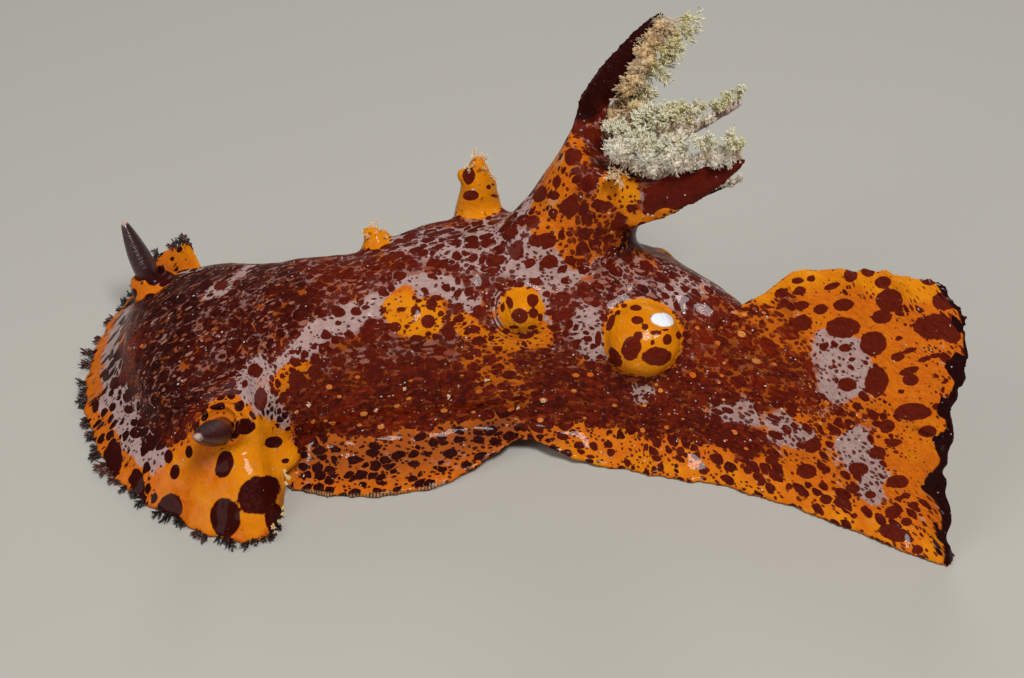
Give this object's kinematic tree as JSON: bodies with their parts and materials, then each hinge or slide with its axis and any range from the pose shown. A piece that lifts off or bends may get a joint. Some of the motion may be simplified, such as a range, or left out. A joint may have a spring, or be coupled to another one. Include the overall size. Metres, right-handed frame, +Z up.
{
  "type": "sea slug model",
  "caption": "Life-size tiles sea slug crawling on its foot, with a broad fringed oral veil, rhinophores, globe papillae, a branched gill on a stalk and a tall flattened tail paddle.",
  "frame": {"origin": "centre of the bounding box in plan, at the level of the ground that the sole rests on", "axes": "+Z up; the head is towards -X and the tail towards +X; the animal's left side is towards -Y"},
  "size_m": [0.1074, 0.049, 0.0477],
  "materials": {
    "mantle": "wet skin, dark maroon spots crowded on lilac grey and orange",
    "foot": "wet orange skin with dark oval spots and a thin striated edge",
    "veil": "wet bright orange skin with near-black blotches",
    "mouth": "wet dull orange skin",
    "rhinophore": "wet dark maroon skin with a pale tip",
    "papilla": "wet yellow-orange skin with brown spots",
    "gill": "cream filaments on dark maroon stems"
  },
  "bodies": {
    "root": {"head": "mantle", "trunk_front": "mantle", "trunk_rear": "mantle", "tail": "mantle", "tail_crest": "mantle", "foot_front": "foot", "foot_middle": "foot", "foot_rear": "foot", "oral_veil_left": "veil", "oral_veil_front": "veil", "oral_veil_right": "veil", "mouth": "mouth", "oral_tentacle_left": "mouth", "oral_tentacle_right": "mouth", "sheath_left": "veil", "sheath_right": "veil", "rhinophore_left": "rhinophore", "rhinophore_right": "rhinophore", "papilla_left_1": "papilla", "papilla_left_2": "papilla", "papilla_left_3": "papilla", "papilla_right_1": "papilla", "papilla_right_2": "papilla", "papilla_right_3": "papilla", "gill_stalk": "mantle", "gill_1": "gill", "gill_2": "gill", "gill_3": "gill", "gill_4": "gill", "gill_5": "gill"}
  },
  "joints": []
}
